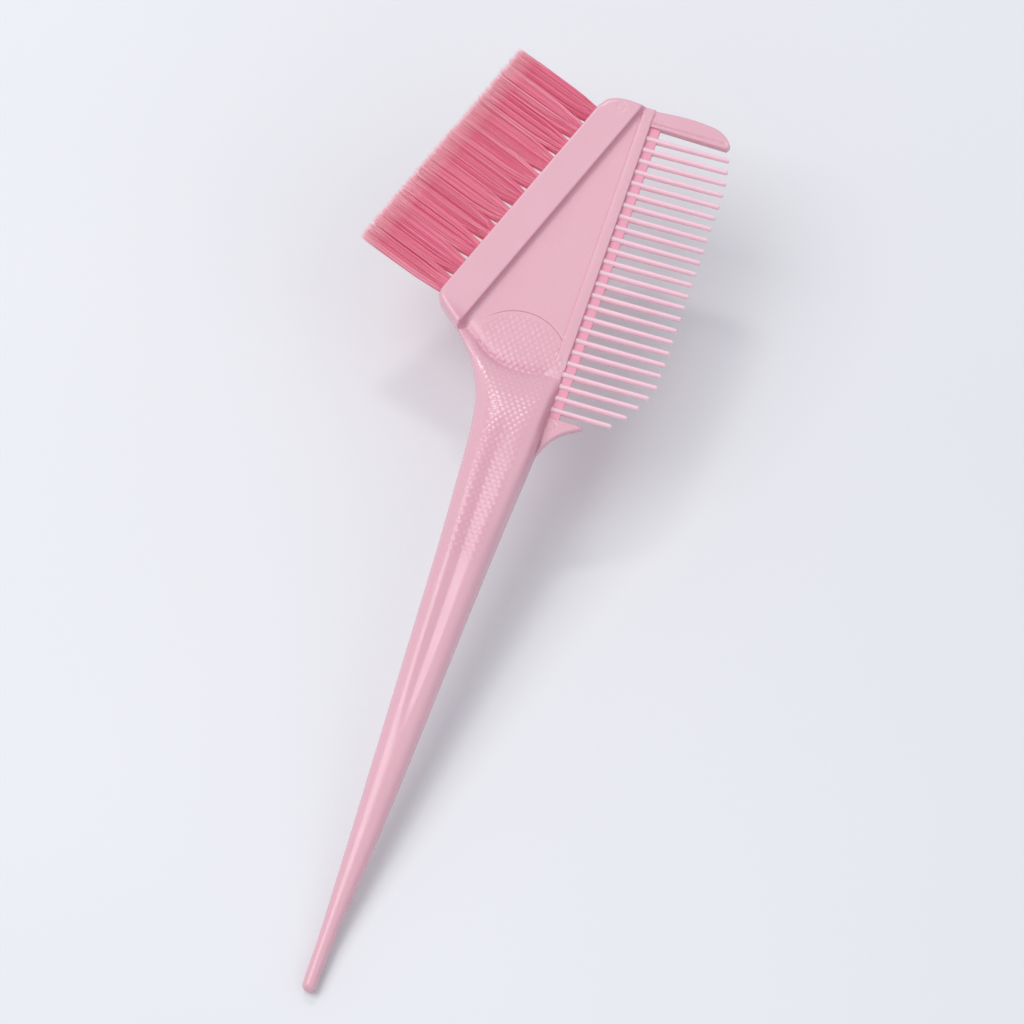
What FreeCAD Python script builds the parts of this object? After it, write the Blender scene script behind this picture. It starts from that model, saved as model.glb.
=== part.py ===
import FreeCAD, Part
import math
import os
import Sketcher

# Tint brush with a comb: hair colouring brush lying flat, front face up (+Z).
# Handle along Y (tail at -Y, head at +Y), comb towards +X, bristles towards -X.
# Plan points below are written in millimetres from the tail end and from a
# line 60 mm to the left of the comb's spine line; SHIFT moves them to the row frame.

V = FreeCAD.Vector
doc = FreeCAD.newDocument("tint_brush")

# ---------------------------------------------------------------- dimensions
sheet = doc.addObject("Spreadsheet::Sheet", "dims")
ROWS = []


def dim(alias, value):
    ROWS.append((alias, value))
    n = len(ROWS)
    sheet.set("A%d" % n, alias.replace("_", " "))
    sheet.set("B%d" % n, str(value))
    sheet.setAlias("B%d" % n, alias)
    return value


MID = dim("mid_height", 3.2)            # height of the comb and web mid-plane
WEB_T = dim("web_thickness", 2.4)
RIDGE_T = dim("ridge_thickness", 3.0)
HORN_T = dim("horn_thickness", 2.2)
RIDGE_W = dim("ridge_breadth", 2.6)
BAND_T = dim("band_thickness", 6.4)     # ferrule bar that carries the tufts
BAND_W = dim("band_breadth", 8.1)
BAND_L = dim("band_length", 58.4)
PAD_R = dim("thumb_pad_radius", 11.8)
PAD_TOP = dim("thumb_pad_top", 4.6)
ROOT_T = dim("root_web_thickness", 1.3)
ROOT_W = dim("root_web_breadth", 2.5)
TOOTH_N = dim("tooth_number", 25)
TOOTH_P = dim("tooth_pitch", 2.867)
TOOTH_W = dim("tooth_breadth", 1.3)
TOOTH_TIP_W = dim("tooth_tip_breadth", 1.0)
TOOTH_T = dim("tooth_thickness", 2.2)
TOOTH_TIP_T = dim("tooth_tip_thickness", 1.5)
TUFT_N = dim("tuft_number", 11)
TUFT_P = dim("tuft_pitch", 5.3)
HOLE_D = dim("tuft_hole_diameter", 3.9)
HOLE_DEPTH = dim("tuft_hole_depth", 6.0)
TUFT_T = dim("tuft_thickness", 3.6)
TUFT_TIP_T = dim("tuft_tip_thickness", 2.6)
TUFT_W = dim("tuft_breadth", 3.8)
TUFT_TIP_W = dim("tuft_tip_breadth", 5.1)
TUFT_L = dim("tuft_length", 23.75)
TUFT_GAP = dim("tuft_mouth_gap", 0.2)
WIRE_L = dim("anchor_length", 4.1)
WIRE_B = dim("anchor_breadth", 1.6)
WIRE_T = dim("anchor_thickness", 0.35)

# handle cross-sections from tail to neck:
# distance from tail, left edge, right edge, underside, top, top round, under round
SECTIONS = [
    ("aa", 1.0, 51.10, 54.05, 0.00, 2.95, 0.95, 0.50),
    ("ab", 12.0, 50.95, 54.35, 0.00, 3.42, 1.10, 0.50),
    ("ac", 24.0, 50.50, 55.25, 0.00, 4.08, 1.45, 0.60),
    ("ad", 36.0, 50.02, 56.07, 0.00, 4.72, 1.75, 0.70),
    ("ae", 50.0, 49.40, 56.80, 0.00, 5.45, 2.05, 0.85),
    ("af", 64.0, 48.80, 57.45, 0.00, 6.12, 2.30, 0.95),
    ("ag", 78.0, 48.18, 58.03, 0.00, 6.74, 2.55, 1.05),
    ("ah", 92.0, 47.58, 58.65, 0.00, 7.40, 2.75, 1.15),
    ("ai", 106.0, 46.88, 59.35, 0.00, 8.10, 2.95, 1.20),
    ("aj", 118.0, 46.05, 60.05, 0.00, 8.66, 3.10, 1.30),
    ("ak", 128.0, 45.28, 60.65, 0.00, 8.80, 3.10, 1.30),
    ("al", 136.0, 43.90, 60.80, 0.02, 7.86, 2.60, 1.20),
    ("am", 142.0, 41.85, 60.75, 0.32, 6.10, 1.80, 1.00),
    ("an", 147.0, 38.90, 60.70, 2.15, 4.35, 0.60, 0.60),
]
TAIL_END = ("tail", 0.2, 51.75, 53.45, 0.60, 2.30, 0.60, 0.40)
for tag, at, left, right, low, high, rt, rb in SECTIONS + [TAIL_END]:
    dim("section_%s_left" % tag, left)
    dim("section_%s_breadth" % tag, round(right - left, 3))
    dim("section_%s_low" % tag, round(low + 5.0, 3))
    dim("section_%s_thickness" % tag, round(high - low, 3))
    dim("section_%s_round" % tag, rt)
    dim("section_%s_under" % tag, rb)

TIPS = [20.2, 20.8, 21.3] + [21.5] * 18 + [20.4, 19.0, 17.2, 14.6]  # tooth ends
for k, t in enumerate(TIPS):
    dim("tooth_reach_%s" % chr(97 + k), round(t - 0.7, 3))
doc.recompute()

SHIFT_X, SHIFT_Y = 15.961 - 60.0, -110.208
BASE = V(SHIFT_X, SHIFT_Y, 0)


def expr(obj, prop, text):
    obj.setExpression(prop, text)


def plane_of(body, role):
    for f in body.Origin.OriginFeatures:
        if f.Role == role:
            return f
    raise ValueError(role)


def new_body(name, place=None):
    body = doc.addObject("PartDesign::Body", name)
    body.Label = name
    body.Placement = FreeCAD.Placement(place or BASE, FreeCAD.Rotation())
    return body


def new_sketch(body, role, name, offset=0.0):
    sk = body.newObject("Sketcher::SketchObject", name)
    sk.AttachmentSupport = [(plane_of(body, role), "")]
    sk.MapMode = "FlatFace"
    sk.AttachmentOffset = FreeCAD.Placement(V(0, 0, offset), FreeCAD.Rotation())
    return sk


def seg(sk, a, b):
    return sk.addGeometry(Part.LineSegment(V(a[0], a[1], 0), V(b[0], b[1], 0)), False)


def polygon(sk, pts):
    n = len(pts)
    ids = [seg(sk, pts[i], pts[(i + 1) % n]) for i in range(n)]
    for i in range(n):
        sk.addConstraint(Sketcher.Constraint("Coincident", ids[i], 2, ids[(i + 1) % n], 1))
    return ids


def spline(sk, pts):
    c = Part.BSplineCurve()
    c.interpolate([V(p[0], p[1], 0) for p in pts])
    return sk.addGeometry(c, False)


def named(sk, cons, name, text):
    i = sk.addConstraint(cons)
    sk.renameConstraint(i, name)
    sk.setExpression("Constraints." + name, text)
    return i


def pad(body, sk, name, text, midplane=False):
    p = body.newObject("PartDesign::Pad", name)
    p.Profile = sk
    p.Length = 1.0
    if midplane:
        try:
            p.SideType = "Symmetric"
        except Exception:
            p.Midplane = True
    p.setExpression("Length", text)
    body.Tip = p
    return p


# ------------------------------------------------------------ handle and grip
def section_sketch(body, tag, at, left, right, low, high, rt, rb):
    sk = new_sketch(body, "XZ_Plane", "section_" + tag, -at)
    lo, hi = low + 5.0, high + 5.0
    q = math.pi / 2
    g = []
    g.append(seg(sk, (left + rb, lo), (right - rb, lo)))                       # 0 bottom
    g.append(sk.addGeometry(Part.ArcOfCircle(Part.Circle(V(right - rb, lo + rb, 0), V(0, 0, 1), rb), -q, 0), False))
    g.append(seg(sk, (right, lo + rb), (right, hi - rt)))                      # 2 right
    g.append(sk.addGeometry(Part.ArcOfCircle(Part.Circle(V(right - rt, hi - rt, 0), V(0, 0, 1), rt), 0, q), False))
    g.append(seg(sk, (right - rt, hi), (left + rt, hi)))                       # 4 top
    g.append(sk.addGeometry(Part.ArcOfCircle(Part.Circle(V(left + rt, hi - rt, 0), V(0, 0, 1), rt), q, 2 * q), False))
    g.append(seg(sk, (left, hi - rt), (left, lo + rb)))                        # 6 left
    g.append(sk.addGeometry(Part.ArcOfCircle(Part.Circle(V(left + rb, lo + rb, 0), V(0, 0, 1), rb), 2 * q, 3 * q), False))
    C = Sketcher.Constraint
    for i in range(8):
        j = (i + 1) % 8
        sk.addConstraint(C("Tangent", g[i], 2, g[j], 1))
    sk.addConstraint(C("Horizontal", g[0]))
    sk.addConstraint(C("Vertical", g[2]))
    sk.addConstraint(C("Equal", g[1], g[7]))
    sk.addConstraint(C("Equal", g[3], g[5]))
    p = "dims.section_%s_" % tag
    named(sk, C("Radius", g[1], rb), "under", p + "under")
    named(sk, C("Radius", g[3], rt), "top_round", p + "round")
    named(sk, C("DistanceX", -1, 1, g[6], 1, left), "left_edge", p + "left")
    named(sk, C("DistanceX", g[6], 1, g[2], 1, right - left), "breadth", p + "breadth")
    named(sk, C("DistanceY", -1, 1, g[0], 1, lo), "low_edge", p + "low")
    named(sk, C("DistanceY", g[0], 1, g[4], 1, hi - lo), "thickness", p + "thickness")
    return sk


grip = new_body("grip_loft", BASE + V(0, 0, -5.0))
cuts = [section_sketch(grip, *row) for row in SECTIONS]
loft = grip.newObject("PartDesign::AdditiveLoft", "grip_form")
loft.Profile = cuts[0]
loft.Sections = cuts[1:]
loft.Ruled = False
grip.Tip = loft
doc.recompute()
cap = grip.newObject("PartDesign::AdditiveLoft", "tail_cap")
cap.Profile = section_sketch(grip, *TAIL_END)
cap.Sections = [cuts[0]]
cap.Ruled = True
grip.Tip = cap
doc.recompute()

# ------------------------------------------------------------------ head plan
M0 = (28.8, 158.2)                                  # mouth, lower end
ANG = math.radians(19.95)
U = (math.sin(ANG), math.cos(ANG))                  # along the mouth
N = (-math.cos(ANG), math.sin(ANG))                 # out of the mouth


def along(s, t):
    return (M0[0] + U[0] * s + N[0] * t, M0[1] + U[1] * s + N[1] * t)


M_LOW, M_TOP = along(-0.7, 0), along(57.7, 0)
NECK = [M_LOW, (28.5, 156.8), (29.4, 155.4), (31.2, 153.85), (33.4, 152.1), (35.9, 149.9),
        (38.5, 146.9), (40.6, 144.05), (42.3, 140.9), (43.6, 137.0)]
CROWN = [(79.4, 211.95), (78.7, 213.0), (77.6, 214.05), (75.95, 214.95), (74.2, 215.35), (72.0, 215.55),
         (69.9, 215.65), (67.0, 215.6), (64.3, 215.38), (62.2, 215.17), (60.1, 215.0), (57.3, 215.0),
         (56.0, 215.15), (54.4, 215.2), (52.9, 215.12), (51.5, 214.85), (50.4, 214.4), (49.5, 213.85),
         (48.9, 213.2), M_TOP]
GUARD_LOW = 211.0


def head_outline(sk):
    seg(sk, (60.7, 138.0), (60.7, GUARD_LOW))
    seg(sk, (60.7, GUARD_LOW), (79.1, GUARD_LOW))
    seg(sk, (79.1, GUARD_LOW), CROWN[0])
    spline(sk, CROWN)
    seg(sk, M_TOP, M_LOW)
    spline(sk, NECK)
    seg(sk, NECK[-1], (60.7, 138.0))


web = new_body("web_plate", BASE)
sk = new_sketch(web, "XY_Plane", "web_outline")
expr(sk, "AttachmentOffset.Base.z", "dims.mid_height")
head_outline(sk)
pad(web, sk, "web_pad", "dims.web_thickness", True)

# full-height prism of the same outline, to trim the ferrule bar at its ends
trim = new_body("head_prism", BASE)
sk = new_sketch(trim, "XY_Plane", "head_prism_outline")
expr(sk, "AttachmentOffset.Base.z", "dims.mid_height")
head_outline(sk)
pad(trim, sk, "head_prism_pad", "dims.band_thickness", True)

# ferrule bar: a straight rectangular bar along the mouth, trimmed to the outline
band = new_body("band_bar", BASE + V(M0[0], M0[1], 0))
band.Placement = FreeCAD.Placement(BASE + V(M0[0], M0[1], 0), FreeCAD.Rotation(V(0, 0, 1), -math.degrees(ANG)))
sk = new_sketch(band, "XY_Plane", "band_plan")
expr(sk, "AttachmentOffset.Base.z", "dims.mid_height")
ids = polygon(sk, [(0, -12), (BAND_W, -12), (BAND_W, 64), (0, 64)])
C = Sketcher.Constraint
sk.addConstraint(C("Horizontal", ids[0]))
sk.addConstraint(C("Vertical", ids[1]))
sk.addConstraint(C("Horizontal", ids[2]))
sk.addConstraint(C("Vertical", ids[3]))
sk.addConstraint(C("PointOnObject", ids[3], 1, -2))
named(sk, C("DistanceX", ids[0], 1, ids[0], 2, BAND_W), "breadth", "dims.band_breadth")
named(sk, C("DistanceY", ids[1], 1, ids[1], 2, 76), "reach", "dims.band_length + 17.6")
sk.addConstraint(C("DistanceY", ids[0], 1, -1, 1, 12.0))
pad(band, sk, "band_pad", "dims.band_thickness", True)
bar = doc.addObject("Part::Common", "ferrule_bar")
bar.Base, bar.Tool = trim, band
doc.recompute()

# comb spine ridge and horn; the end guard is the outer corner of the web plate
ridge = new_body("spine_ridge", BASE)
sk = new_sketch(ridge, "XY_Plane", "ridge_plan")
expr(sk, "AttachmentOffset.Base.z", "dims.mid_height")
ids = polygon(sk, [(60.7 - RIDGE_W, 140.0), (60.7, 140.0), (60.7, 214.6), (60.7 - RIDGE_W, 214.6)])
sk.addConstraint(C("Horizontal", ids[0]))
sk.addConstraint(C("Vertical", ids[1]))
sk.addConstraint(C("Horizontal", ids[2]))
sk.addConstraint(C("Vertical", ids[3]))
named(sk, C("DistanceX", ids[0], 1, ids[0], 2, RIDGE_W), "breadth", "dims.ridge_breadth")
sk.addConstraint(C("DistanceX", -1, 1, ids[0], 2, 60.7))
sk.addConstraint(C("DistanceY", -1, 1, ids[0], 1, 140.0))
sk.addConstraint(C("DistanceY", ids[1], 1, ids[1], 2, 74.6))
pad(ridge, sk, "ridge_pad", "dims.ridge_thickness", True)

horn = new_body("lower_horn", BASE)
sk = new_sketch(horn, "XY_Plane", "horn_plan")
expr(sk, "AttachmentOffset.Base.z", "dims.mid_height")
seg(sk, (59.0, 137.35), (68.2, 137.45))
seg(sk, (68.2, 137.45), (68.45, 136.95))
spline(sk, [(68.45, 136.95), (66.4, 135.8), (64.4, 134.3), (62.8, 132.3), (61.5, 129.8), (60.5, 126.4)])
seg(sk, (60.5, 126.4), (59.0, 126.4))
seg(sk, (59.0, 126.4), (59.0, 137.35))
pad(horn, sk, "horn_pad", "dims.horn_thickness", True)

root = new_body("root_web", BASE)
sk = new_sketch(root, "XY_Plane", "root_plan")
expr(sk, "AttachmentOffset.Base.z", "dims.mid_height")
ids = polygon(sk, [(60.3, 137.0), (60.7 + ROOT_W, 137.0), (60.7 + ROOT_W, 212.0), (60.3, 212.0)])
sk.addConstraint(C("Horizontal", ids[0]))
sk.addConstraint(C("Vertical", ids[1]))
sk.addConstraint(C("Horizontal", ids[2]))
sk.addConstraint(C("Vertical", ids[3]))
sk.addConstraint(C("DistanceX", -1, 1, ids[0], 1, 60.3))
sk.addConstraint(C("DistanceY", -1, 1, ids[0], 1, 137.0))
sk.addConstraint(C("DistanceY", ids[1], 1, ids[1], 2, 75.0))
named(sk, C("DistanceX", ids[0], 1, ids[0], 2, ROOT_W + 0.4), "breadth", "dims.root_web_breadth + 0.4")
pad(root, sk, "root_pad", "dims.root_web_thickness", True)

# thumb pad: the upper part of a disc, slightly proud of the web
pad_body = new_body("thumb_pad", BASE + V(49.2, 147.8, 0))
sk = new_sketch(pad_body, "XY_Plane", "pad_plan", 3.0)
a0, a1 = math.radians(-8), math.radians(188)
arc = sk.addGeometry(Part.ArcOfCircle(Part.Circle(V(0, 0, 0), V(0, 0, 1), PAD_R), a0, a1), False)
chord = seg(sk, (PAD_R * math.cos(a1), PAD_R * math.sin(a1)), (PAD_R * math.cos(a0), PAD_R * math.sin(a0)))
sk.addConstraint(C("Coincident", arc, 2, chord, 1))
sk.addConstraint(C("Coincident", arc, 1, chord, 2))
sk.addConstraint(C("Coincident", arc, 3, -1, 1))
sk.addConstraint(C("Horizontal", chord))
named(sk, C("Radius", arc, PAD_R), "pad_radius", "dims.thumb_pad_radius")
pad(pad_body, sk, "pad_pad", "dims.thumb_pad_top - 3")
doc.recompute()

# ---------------------------------------------------------------- comb teeth
TOP_TOOTH_Y = 208.12
TOOTH_IN = 0.4                                      # how far a tooth reaches into the spine
teeth_plans = []
for k in range(int(TOOTH_N)):
    y = TOP_TOOTH_Y - k * TOOTH_P
    tag = chr(97 + k)
    b = new_body("tooth_plan_%02d" % (k + 1))
    b.Placement = FreeCAD.Placement(BASE + V(60.7 - TOOTH_IN, y, 0), FreeCAD.Rotation(V(0, 0, 1), 2.0))
    sk = new_sketch(b, "XY_Plane", "tooth_sketch_%02d" % (k + 1))
    expr(sk, "AttachmentOffset.Base.z", "dims.mid_height")
    reach = TIPS[k] - 0.7 + TOOTH_IN
    hw, ht = TOOTH_W / 2, TOOTH_TIP_W / 2
    top = seg(sk, (reach - ht, ht), (0, hw))
    back = seg(sk, (0, hw), (0, -hw))
    bot = seg(sk, (0, -hw), (reach - ht, -ht))
    end = sk.addGeometry(Part.ArcOfCircle(Part.Circle(V(reach - ht, 0, 0), V(0, 0, 1), ht), -math.pi / 2, math.pi / 2), False)
    sk.addConstraint(C("Coincident", top, 2, back, 1))
    sk.addConstraint(C("Coincident", back, 2, bot, 1))
    sk.addConstraint(C("Coincident", bot, 2, end, 1))
    sk.addConstraint(C("Coincident", end, 2, top, 1))
    sk.addConstraint(C("PointOnObject", back, 1, -2))
    sk.addConstraint(C("Symmetric", back, 1, back, 2, -1))
    sk.addConstraint(C("PointOnObject", end, 3, -1))
    sk.addConstraint(C("Vertical", end, 1, end, 2))
    named(sk, C("DistanceY", back, 2, back, 1, TOOTH_W), "root_breadth", "dims.tooth_breadth")
    named(sk, C("DistanceY", end, 1, end, 2, TOOTH_TIP_W), "tip_breadth", "dims.tooth_tip_breadth")
    named(sk, C("DistanceX", -1, 1, end, 3, reach - ht), "reach", "dims.tooth_reach_%s + 0.4 - dims.tooth_tip_breadth / 2" % tag)
    sk.addConstraint(C("Vertical", end, 3, end, 1))
    pad(b, sk, "tooth_pad_%02d" % (k + 1), "dims.tooth_thickness", True)
    teeth_plans.append(b)
doc.recompute()

# side view of every tooth: thick at the root, thinner at the tip
profile = new_body("tooth_profile", BASE + V(60.7 - TOOTH_IN, 0, 0))
sk = new_sketch(profile, "XZ_Plane", "tooth_side", -210.5)
full, tip = TOOTH_T / 2, TOOTH_TIP_T / 2
far = 21.5
ids = polygon(sk, [(0, MID - full), (far, MID - tip), (far, MID + tip), (0, MID + full)])
sk.addConstraint(C("Vertical", ids[1]))
sk.addConstraint(C("Vertical", ids[3]))
named(sk, C("DistanceY", ids[3], 2, ids[3], 1, TOOTH_T), "root_thickness", "dims.tooth_thickness")
named(sk, C("DistanceY", ids[1], 1, ids[1], 2, TOOTH_TIP_T), "tip_thickness", "dims.tooth_tip_thickness")
sk.addConstraint(C("PointOnObject", ids[3], 1, -2))
sk.addConstraint(C("DistanceX", ids[0], 1, ids[0], 2, far))
named(sk, C("DistanceY", -1, 1, ids[3], 2, MID - full), "root_low", "dims.mid_height - dims.tooth_thickness / 2")
named(sk, C("DistanceY", -1, 1, ids[1], 1, MID - tip), "tip_low", "dims.mid_height - dims.tooth_tip_thickness / 2")
p = pad(profile, sk, "tooth_side_pad", "dims.tooth_pitch * 26")
doc.recompute()
if profile.Shape.BoundBox.YMin - SHIFT_Y > 150 or profile.Shape.BoundBox.YMax - SHIFT_Y > 215:
    p.Reversed = True
    doc.recompute()

teeth = []
for k, b in enumerate(teeth_plans):
    t = doc.addObject("Part::Common", "tooth_%02d" % (k + 1))
    t.Base, t.Tool = b, profile
    teeth.append(t)
comb = doc.addObject("Part::Compound", "comb_teeth")
comb.Links = teeth
comb.Label = "comb_teeth"
doc.recompute()

# ------------------------------------------------- tuft holes, roots, anchors
HOLE_FIRST = 1.95
DIR_N = V(N[0], N[1], 0)
DIR_U = V(U[0], U[1], 0)


def frame_at(s, t, z):
    """Placement with local X out of the mouth, local Y against the mouth line, local Z up."""
    x, y = along(s, t)
    rot = FreeCAD.Rotation(V(0, 0, 1), 180.0 - math.degrees(ANG))
    return FreeCAD.Placement(BASE + V(x, y, z), rot)


holes, roots, wires, wire_cutters = [], [], [], []
for k in range(int(TUFT_N)):
    s = HOLE_FIRST + k * TUFT_P
    n = k + 1
    for kind, store in (("hole", holes), ("plug", roots)):
        c = doc.addObject("Part::Cylinder", "%s_%02d" % (kind, n))
        pl = frame_at(s, -HOLE_DEPTH, MID)
        c.Placement = FreeCAD.Placement(pl.Base, pl.Rotation.multiply(FreeCAD.Rotation(V(0, 1, 0), 90)))
        c.setExpression("Radius", "dims.tuft_hole_diameter / 2")
        c.setExpression("Height", "dims.tuft_hole_depth" + (" + 0.5" if kind == "hole" else ""))
        store.append(c)
    for kind, store in (("anchor_%02d" % n, wires), ("wire_space_%02d" % n, wire_cutters)):
        w = doc.addObject("Part::Box", kind.replace("_%02d" % n, "_%02d" % n))
        pl = frame_at(s, -5.4, MID)
        loc = V(0, -WIRE_L / 2, -WIRE_T / 2)
        w.Placement = FreeCAD.Placement(pl.Base + pl.Rotation.multVec(loc), pl.Rotation)
        w.setExpression("Length", "dims.anchor_breadth")
        w.setExpression("Width", "dims.anchor_length")
        w.setExpression("Height", "dims.anchor_thickness")
        w.Label = kind
        store.append(w)
root_nodes = []
for k in range(int(TUFT_N)):
    r = doc.addObject("Part::Cut", "tuft_root_%02d" % (k + 1))
    r.Base, r.Tool = roots[k], wire_cutters[k]
    r.Label = "tuft_root_%02d" % (k + 1)
    root_nodes.append(r)
doc.recompute()

# ------------------------------------------------------------- free bristles
HINGE_T = TUFT_GAP + TUFT_T / 2
tuft_nodes = []
for k in range(int(TUFT_N)):
    s = HOLE_FIRST + k * TUFT_P
    n = k + 1
    length = TUFT_L + 0.05 * k
    pl = frame_at(s, 0, 0)
    a = doc.addObject("PartDesign::Body", "tuft_plan_%02d" % n)
    a.Placement = pl
    sk = new_sketch(a, "XY_Plane", "tuft_plan_sketch_%02d" % n)
    expr(sk, "AttachmentOffset.Base.z", "dims.mid_height")
    wb, wt = TUFT_W / 2, TUFT_TIP_W / 2
    pts = [(TUFT_GAP, -wb), (2.4, -wb), (8.0, -wt), (length - 0.9, -wt), (length, -wt + 0.9),
           (length, wt - 0.9), (length - 0.9, wt), (8.0, wt), (2.4, wb), (TUFT_GAP, wb)]
    ids = polygon(sk, pts)
    for i in (0, 2, 6, 8):
        sk.addConstraint(C("Horizontal", ids[i]))
    named(sk, C("DistanceY", ids[0], 1, ids[8], 2, TUFT_W), "root_breadth", "dims.tuft_breadth")
    named(sk, C("DistanceY", ids[2], 1, ids[6], 2, TUFT_TIP_W), "tip_breadth", "dims.tuft_tip_breadth")
    sk.addConstraint(C("Symmetric", ids[9], 1, ids[9], 2, -1))
    sk.addConstraint(C("Symmetric", ids[2], 1, ids[6], 2, -1))
    sk.addConstraint(C("Symmetric", ids[4], 1, ids[4], 2, -1))
    named(sk, C("DistanceX", -1, 1, ids[9], 2, TUFT_GAP), "mouth_gap", "dims.tuft_mouth_gap")
    named(sk, C("DistanceX", -1, 1, ids[4], 1, length), "length", "dims.tuft_length + %.2f" % (0.05 * k))
    pad(a, sk, "tuft_plan_pad_%02d" % n, "dims.tuft_thickness + 0.6", True)
    b = doc.addObject("PartDesign::Body", "tuft_side_%02d" % n)
    b.Placement = pl
    sk = new_sketch(b, "XZ_Plane", "tuft_side_sketch_%02d" % n)
    r = TUFT_T / 2
    th = TUFT_TIP_T / 2
    sk.addGeometry(Part.ArcOfCircle(Part.Circle(V(HINGE_T, MID, 0), V(0, 0, 1), r), math.pi / 2, 1.5 * math.pi), False)
    seg(sk, (HINGE_T, MID - r), (9.0, MID - r - 0.15))
    seg(sk, (9.0, MID - r - 0.15), (length, MID - th))
    seg(sk, (length, MID - th), (length, MID + th))
    seg(sk, (length, MID + th), (9.0, MID + r + 0.15))
    seg(sk, (9.0, MID + r + 0.15), (HINGE_T, MID + r))
    pad(b, sk, "tuft_side_pad_%02d" % n, "dims.tuft_tip_breadth + 1", True)
    t = doc.addObject("Part::Common", "bristles_%02d" % n)
    t.Base, t.Tool = a, b
    t.Label = "bristles_%02d" % n
    tuft_nodes.append(t)
doc.recompute()

# ------------------------------------------------------------ the moulding
fused = doc.addObject("Part::MultiFuse", "moulding_fused")
fused.Shapes = [grip, web, bar, ridge, horn, root, pad_body]
fused.Refine = True
drill = doc.addObject("Part::MultiFuse", "tuft_holes")
drill.Shapes = holes
drilled = doc.addObject("Part::Cut", "moulding_drilled")
drilled.Base, drilled.Tool = fused, drill
doc.recompute()
handle = doc.addObject("Part::Cut", "handle_body")
handle.Base, handle.Tool = drilled, comb
handle.Label = "handle_body"
doc.recompute()

# ------------------------------------------------------------------ export
bad = [o.Name for o in doc.Objects if "Invalid" in o.State or "Error" in o.State]
assert not bad, bad
out = [handle, comb] + root_nodes + wires + tuft_nodes
os.makedirs("parts", exist_ok=True)
lo = [1e9] * 3
hi = [-1e9] * 3
for o in out:
    sh = o.Shape
    assert not sh.isNull() and sh.isValid(), o.Label
    bb = sh.BoundBox
    for i, (p0, p1) in enumerate(((bb.XMin, bb.XMax), (bb.YMin, bb.YMax), (bb.ZMin, bb.ZMax))):
        lo[i] = min(lo[i], p0)
        hi[i] = max(hi[i], p1)
    print(o.Label, "solids", len(sh.Solids), "vol %.2f" % sh.Volume)
    sh.exportStep("parts/%s.step" % o.Label)
print("bbox", [round(v, 3) for v in lo], [round(v, 3) for v in hi])
print("centre", round((lo[0] + hi[0]) / 2, 3), round((lo[1] + hi[1]) / 2, 3), "size", [round(hi[i] - lo[i], 2) for i in range(3)])
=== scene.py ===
import math

import bpy
import numpy as np
from mathutils import Matrix, Vector
from mathutils.geometry import delaunay_2d_cdt


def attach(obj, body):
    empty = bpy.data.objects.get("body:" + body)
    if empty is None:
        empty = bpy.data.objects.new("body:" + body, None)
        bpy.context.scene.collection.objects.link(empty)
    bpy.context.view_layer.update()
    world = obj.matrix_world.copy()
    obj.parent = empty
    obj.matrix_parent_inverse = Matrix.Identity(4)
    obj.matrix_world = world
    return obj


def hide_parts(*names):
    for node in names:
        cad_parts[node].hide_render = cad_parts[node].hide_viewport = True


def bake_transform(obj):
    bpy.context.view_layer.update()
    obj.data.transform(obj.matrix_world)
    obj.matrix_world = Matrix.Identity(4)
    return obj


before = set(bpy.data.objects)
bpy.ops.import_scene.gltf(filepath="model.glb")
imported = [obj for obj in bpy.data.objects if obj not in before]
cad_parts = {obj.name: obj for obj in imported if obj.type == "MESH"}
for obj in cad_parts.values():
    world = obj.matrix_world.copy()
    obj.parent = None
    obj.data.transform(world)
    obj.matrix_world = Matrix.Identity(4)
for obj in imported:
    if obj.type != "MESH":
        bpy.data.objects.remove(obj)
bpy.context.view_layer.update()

RNG = np.random.default_rng(20517)

# Plan coordinates are millimetres: y from the tail end, x from a line 60 mm left of the comb's spine.
OX, OY = 44.039, 110.208
MID = 3.2
M0 = np.array((28.8, 158.2))
ANG = math.radians(19.95)
U = np.array((math.sin(ANG), math.cos(ANG)))
N = np.array((-math.cos(ANG), math.sin(ANG)))


def to_row(a):
    """mm plan points (n, 3) to metres in the row frame."""
    a = np.asarray(a, float)
    return np.stack(((a[:, 0] - OX) / 1000, (a[:, 1] - OY) / 1000, a[:, 2] / 1000), 1)


def along(s, t):
    return M0 + U * s + N * t


def sstep(a, b, x):
    t = np.clip((x - a) / (b - a), 0, 1)
    return t * t * (3 - 2 * t)


def curve(x, table):
    """Monotone cubic through a table of (x, value)."""
    xp = np.array([p[0] for p in table], float)
    fp = np.array([p[1] for p in table], float)
    x = np.clip(np.asarray(x, float), xp[0], xp[-1])
    h = np.diff(xp)
    d = np.diff(fp) / h
    m = np.zeros_like(fp)
    m[0], m[-1] = d[0], d[-1]
    same = d[:-1] * d[1:] > 0
    w1, w2 = 2 * h[1:] + h[:-1], h[1:] + 2 * h[:-1]
    with np.errstate(divide="ignore", invalid="ignore"):
        hm = (w1 + w2) / (w1 / d[:-1] + w2 / d[1:])
    m[1:-1] = np.where(same, hm, 0)
    i = np.clip(np.searchsorted(xp, x, side="right") - 1, 0, len(xp) - 2)
    t = (x - xp[i]) / h[i]
    a, b = fp[i], fp[i + 1]
    return (
        (1 + 2 * t) * (1 - t) ** 2 * a
        + t * (1 - t) ** 2 * h[i] * m[i]
        + t * t * (3 - 2 * t) * b
        + t * t * (t - 1) * h[i] * m[i + 1]
    )


def smax(a, b, k):
    h = np.clip(0.5 + 0.5 * (a - b) / k, 0, 1)
    return b * (1 - h) + a * h + k * h * (1 - h)


def drop(d, r):
    """How far a rounded edge of radius r lies below its face at distance d inside the edge."""
    q = np.clip(1 - d / r, 0, 1)
    return r * (1 - np.sqrt(np.maximum(0, 1 - q * q)))


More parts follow.
